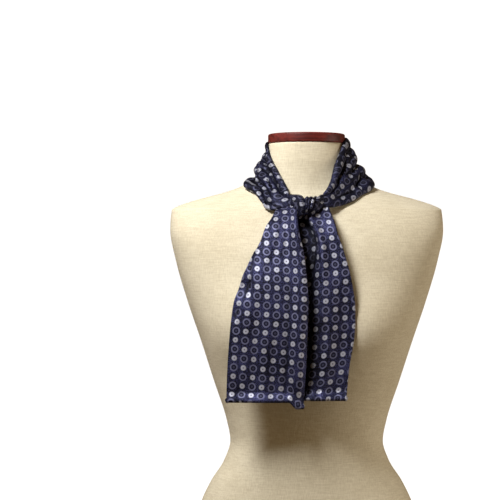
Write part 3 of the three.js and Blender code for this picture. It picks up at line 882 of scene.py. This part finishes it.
LINEN_THREAD = 0.0011
LINEN_LIGHT = colour(252, 242, 215)
LINEN_DARK = colour(224, 211, 180)
UP_STRETCH = (700.0, 700.0, 120.0)  # for slubs that run up the form, and round it
ROUND_STRETCH = (60.0, 60.0, 640.0)
SLUB_NOISE = (1.0, 3.0, 0.6)
AGE_NOISE = (9.0, 4.0, 0.6)
SLUB_SHARE = 0.45
AGE_SHARE = 0.35
WEAVE_SHARE = 0.04
LINEN_TONES = (0.42, 0.84)
LINEN_ROUGHNESS = (0.6, 1.4, 0.9, 0.78)
LINEN_SPECULAR = 0.25
LINEN_SHEEN = 0.1
LINEN_SHEEN_ROUGHNESS = 0.6
WEAVE_HEIGHT = 0.25
LINEN_BUMP = (0.34, 0.0006)


def linen():
    n = Nodes("linen")
    across, along = n.flat_cloth()[1:]
    turn = 2 * math.pi / LINEN_THREAD
    warp = n.math("SINE", n.math("MULTIPLY", across, turn))
    weft = n.math("SINE", n.math("MULTIPLY", along, turn))
    weave = n.math("MULTIPLY", warp, weft)
    spot = n.add("ShaderNodeTexCoord").outputs["Object"]
    slub_up = n.noise(n.stretch(spot, UP_STRETCH), *SLUB_NOISE)
    slub_round = n.noise(n.stretch(spot, ROUND_STRETCH), *SLUB_NOISE)
    slubs = n.math("ADD", slub_up, slub_round)
    age = n.noise(spot, *AGE_NOISE)
    tone = n.math("ADD", n.math("MULTIPLY", slubs, SLUB_SHARE), n.math("MULTIPLY", age, AGE_SHARE))
    tone = n.math("ADD", tone, n.math("MULTIPLY", weave, WEAVE_SHARE))
    n.put(n.shader.inputs["Base Color"], n.mix(n.between(tone, *LINEN_TONES), LINEN_DARK, LINEN_LIGHT))
    n.put(n.shader.inputs["Roughness"], n.between(slubs, *LINEN_ROUGHNESS))
    n.shader.inputs["Specular IOR Level"].default_value = LINEN_SPECULAR
    n.shader.inputs["Sheen Weight"].default_value = LINEN_SHEEN
    n.shader.inputs["Sheen Roughness"].default_value = LINEN_SHEEN_ROUGHNESS
    height = n.math("ADD", n.math("MULTIPLY", weave, WEAVE_HEIGHT), slubs)
    n.bump(height, *LINEN_BUMP)
    return n.material


WOOD_LIGHT = colour(128, 44, 36)
WOOD_DARK = colour(70, 18, 15)
GRAIN_STRETCH = (7.0, 150.0, 210.0)
GRAIN_NOISE = (1.0, 5.0, 0.62)
PORE_STRETCH = (40.0, 1500.0, 1500.0)
PORE_NOISE = (1.0, 2.0)
GRAIN_SHARE = 0.8
PORE_SHARE = 0.2
WOOD_TONES = (0.32, 0.66)
WOOD_ROUGHNESS = (0.3, 0.7, 0.44, 0.54)
WOOD_SPECULAR = 0.35
WOOD_COAT = 0.1
WOOD_COAT_ROUGHNESS = 0.4
WOOD_BUMP = (0.12, 0.0003)


def mahogany():
    n = Nodes("mahogany")
    spot = n.add("ShaderNodeTexCoord").outputs["Object"]
    grain = n.noise(n.stretch(spot, GRAIN_STRETCH), *GRAIN_NOISE)
    pores = n.noise(n.stretch(spot, PORE_STRETCH), *PORE_NOISE)
    tone = n.math("ADD", n.math("MULTIPLY", grain, GRAIN_SHARE), n.math("MULTIPLY", pores, PORE_SHARE))
    n.put(n.shader.inputs["Base Color"], n.mix(n.between(tone, *WOOD_TONES), WOOD_DARK, WOOD_LIGHT))
    n.put(n.shader.inputs["Roughness"], n.between(pores, *WOOD_ROUGHNESS))
    n.shader.inputs["Specular IOR Level"].default_value = WOOD_SPECULAR
    n.shader.inputs["Coat Weight"].default_value = WOOD_COAT
    n.shader.inputs["Coat Roughness"].default_value = WOOD_COAT_ROUGHNESS
    n.bump(tone, *WOOD_BUMP)
    return n.material


STAGE_LIGHT = colour(246, 246, 247)
STAGE_DARK = colour(232, 232, 234)
STAGE_GLOW = 1.0
STAGE_MOTTLE = 1.5
STAGE_ROUGHNESS = 0.9
WHITE = (1, 1, 1)


def stage_paint():
    n = Nodes("backdrop_paint")
    spot = n.add("ShaderNodeTexCoord").outputs["Object"]
    n.put(n.shader.inputs["Base Color"], n.mix(n.noise(spot, STAGE_MOTTLE), STAGE_DARK, STAGE_LIGHT))
    n.shader.inputs["Roughness"].default_value = STAGE_ROUGHNESS
    n.shader.inputs["Emission Color"].default_value = (*WHITE, 1)
    n.shader.inputs["Emission Strength"].default_value = STAGE_GLOW
    return n.material


# The object


FORM_AROUND = 176
FORM_LEVELS = 230


def dress_form(material):
    """The torso, as rings from its underside up to the neck's top."""
    z = np.linspace(0, NECK_TOP, FORM_LEVELS)[:, None]
    angle = (np.arange(FORM_AROUND) * 2 * math.pi / FORM_AROUND - math.pi / 2)[None, :]
    rings = form_points(angle, z)
    flat = np.stack([lengths(rings, 1), lengths(rings, 0)], axis=-1)
    flat[..., 0] -= flat[:, FORM_AROUND // 2, 0][:, None]
    return ring_mesh("form_linen", rings[:, ::-1], flat[:, ::-1], material)


CAP_AROUND = 128
ROUND_STEPS = 9
CAP_UNDER_RING = 0.5  # shares of the flat radius
CAP_TOP_RINGS = (0.97, 0.6, 0.3)


def wooden_cap(material):
    """A turned disc with rounded edges, on the neck."""
    quarter = np.linspace(0, math.pi / 2, ROUND_STEPS)
    inner = CAP_RADIUS - CAP_ROUNDING
    shoulder = CAP_HEIGHT - CAP_ROUNDING
    profile = [(inner * CAP_UNDER_RING, 0)]
    profile += [(inner + CAP_ROUNDING * math.sin(a), CAP_ROUNDING * (1 - math.cos(a))) for a in quarter]
    profile += [
        (inner + CAP_ROUNDING * math.cos(a), shoulder + CAP_ROUNDING * math.sin(a)) for a in quarter
    ]
    profile += [(inner * share, CAP_HEIGHT) for share in CAP_TOP_RINGS]
    rings = lathe(profile, CAP_AROUND, NECK_TOP + SEAM)
    return ring_mesh("cap_wood", rings, rings[..., :2], material)


satin = foulard_satin()
body = dress_form(linen())
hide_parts("form_body")
cap = wooden_cap(mahogany())
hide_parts("neck_cap")

# Where the print lies on each piece, across and along it, and how much its rows lean. The band is
# pulled askew on the left.
BAND_PRINT = Table(
    "turn across along lean",
    [
        (15, 9.1, 11.6, 0.5),
        (90, 9.5, 11.6, 0.4),
        (270, 19.1, 13.5, 0),
        (345, 19.1, 13.5, 0),
    ],
)
LEFT_PRINT = {"across": 8.1, "along": 18.5, "lean": 0.063}
RIGHT_PRINT = {"across": 7.2, "along": 10.9, "lean": -0.08}
KNOT_PRINT = {"across": 7.8, "along": 13.6, "lean": 0}

band_points = band_grid()
left_points = tail_grid(LEFT_TAIL, left_tail_points, LEFT_HEM, LEFT_TOP, LEFT_SEED)
right_points = tail_grid(RIGHT_TAIL, right_tail_points, None, 0, RIGHT_SEED)
knot_points = knot_grid()
band_turns = np.linspace(*BAND_ENDS, BAND_GRID[0])[:, None]
band_flat = cloth_map(band_points, BAND_PRINT.at(band_turns))
left_flat = hung_map(left_points, LEFT_THREAD, LEFT_PRINT)
right_flat = hung_map(right_points, RIGHT_THREAD, RIGHT_PRINT)
knot_flat = cloth_map(knot_points, KNOT_PRINT)
band = cloth_piece("neck_band", band_points, band_flat, satin, painted_shade=TIED_PAINTED_SHADE)
left_tail = cloth_piece("left_tail", left_points, left_flat, satin, tail_thickness(left_points))
right_half = tail_thickness(right_points)
# painted shadow of the left tail on the right tail's inner part
right_painted_shadow = valley_painted_shadow(right_points)
right_tail = cloth_piece("right_tail", right_points, right_flat, satin, right_half, right_painted_shadow)
knot = cloth_piece("tied_knot", knot_points, knot_flat, satin, painted_shade=TIED_PAINTED_SHADE)
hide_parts("band_left", "band_back", "band_right")
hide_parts("tail_left")
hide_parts("tail_right")
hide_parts("knot")
for piece in (body, cap, band, left_tail, right_tail, knot):
    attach(piece, "root")


# The stage: a pale floor that curves up into a round backdrop, soft light and the camera

STAGE_RADIUS = 7.0
STAGE_CURVE = 2.0
STAGE_HEIGHT = 7.0
STAGE_AROUND = 96
FLOOR_RINGS = (0.02, 0.5)  # shares of the flat floor's radius
CURVE_STEPS = 14


def sweep():
    """A floor with a round wall. It takes light and shade, and throws none back on the object."""
    steps = np.linspace(0, math.pi / 2, CURVE_STEPS)
    flat = STAGE_RADIUS - STAGE_CURVE
    profile = [(flat * share, 0.0) for share in FLOOR_RINGS]
    profile += [(flat + STAGE_CURVE * math.sin(a), STAGE_CURVE * (1 - math.cos(a))) for a in steps]
    profile += [(STAGE_RADIUS, STAGE_HEIGHT)]
    rings = lathe(profile, STAGE_AROUND)
    index = np.arange(len(profile) * STAGE_AROUND).reshape(len(profile), STAGE_AROUND)
    after = np.roll(index, -1, axis=1)
    sides = np.stack([index[:-1], index[1:], after[1:], after[:-1]], axis=-1).reshape(-1, 4)
    faces = sides.tolist() + [index[0].tolist()]
    piece = add_mesh("backdrop", rings.reshape(-1, 3) / MM, faces, stage_paint())
    piece.visible_diffuse = False
    piece.visible_glossy = False
    piece.visible_shadow = False


def area_light(name, place, size, power, tint):
    lamp = bpy.data.lights.new(name, "AREA")
    lamp.shape = "DISK"
    lamp.size = size
    lamp.energy = power
    lamp.color = tint
    holder = bpy.data.objects.new(name, lamp)
    holder.location = place
    holder.rotation_mode = "QUATERNION"
    holder.rotation_quaternion = (Vector(LAMP_AIM) - Vector(place)).to_track_quat("-Z", "Y")
    holder.visible_camera = False
    bpy.context.collection.objects.link(holder)


LAMP_AIM = (0, -0.05, 0.5)
WARM = (1, 0.93, 0.82)
# Each lamp's name, place, size, power and tint
LAMPS = [
    ("key", (-0.58, -0.79, 1.47), 0.5, 20.5, WHITE),
    ("right", (2.54, -0.5, 0.14), 1.6, 22.5, WARM),
    ("left", (-2.36, -0.05, 1.6), 2.0, 9, WHITE),
]
WORLD_TINT = (1.0, 0.64, 0.28, 1.0)
WORLD_LIGHT = 0.1

sweep()
for lamp_row in LAMPS:
    area_light(*lamp_row)

world = bpy.data.worlds.new("studio")
world.use_nodes = True
background = world.node_tree.nodes["Background"]
background.inputs["Color"].default_value = WORLD_TINT
background.inputs["Strength"].default_value = WORLD_LIGHT
bpy.context.scene.world = world
bpy.context.scene.view_settings.view_transform = "Standard"

CAMERA_PLACE = (-0.083, -2.45, 0.5143)
CAMERA_LENS = 120
CAMERA_SENSOR = 36
camera = bpy.data.cameras.new("camera")
camera.lens = CAMERA_LENS
camera.sensor_width = CAMERA_SENSOR
view = bpy.data.objects.new("camera", camera)
view.location = CAMERA_PLACE
view.rotation_euler = (math.pi / 2, 0, 0)
bpy.context.collection.objects.link(view)
bpy.context.scene.camera = view
